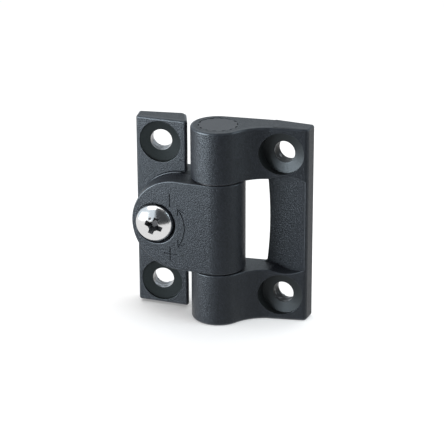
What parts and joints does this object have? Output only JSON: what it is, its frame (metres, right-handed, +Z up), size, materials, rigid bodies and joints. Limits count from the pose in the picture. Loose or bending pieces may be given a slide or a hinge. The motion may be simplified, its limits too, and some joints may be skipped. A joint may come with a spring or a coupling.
{
  "type": "torque hinge",
  "caption": "Cast two-leaf hinge with a slit middle knuckle that a pan-head screw clamps on the pin, so that it holds at any angle.",
  "frame": {"origin": "middle of the clamp leaf's two screw holes, on its mounting face", "axes": "+Z up along the pin, -Y out of the clamp leaf's mounting face towards the front, +X from the clamp leaf towards the pin"},
  "size_m": [0.0527, 0.019, 0.06],
  "materials": {
    "black_casting": "fine-textured matt black powder coat on a zinc casting",
    "pin_steel": "ground",
    "sleeve_plastic": "natural acetal",
    "washer_plastic": "black acetal",
    "cap_plastic": "matt black nylon",
    "screw_steel": "bright stainless",
    "nut_steel": "plain stainless"
  },
  "bodies": {
    "clamp_side": {"clamp_leaf": "black_casting", "clamp_nut": "nut_steel", "friction_sleeve": "sleeve_plastic", "upper_spacer_washer": "washer_plastic", "lower_spacer_washer": "washer_plastic"},
    "yoke_side": {"yoke_leaf": "black_casting", "hinge_pin": "pin_steel", "upper_pin_cap": "cap_plastic", "lower_pin_cap": "cap_plastic"},
    "adjusting_screw": {"friction_screw": "screw_steel"}
  },
  "joints": [
    {"name": "leaf_fold", "type": "hinge", "parent": "clamp_side", "child": "yoke_side", "pos_m": [0.018, -0.011, 0], "axis": [0, 0, -1], "range_deg": [-49, 166]},
    {"name": "friction_screw_turn", "type": "hinge", "parent": "clamp_side", "child": "adjusting_screw", "pos_m": [0, -0.0142, 0], "axis": [0, 1, 0], "range_deg": [-90, 90]}
  ]
}
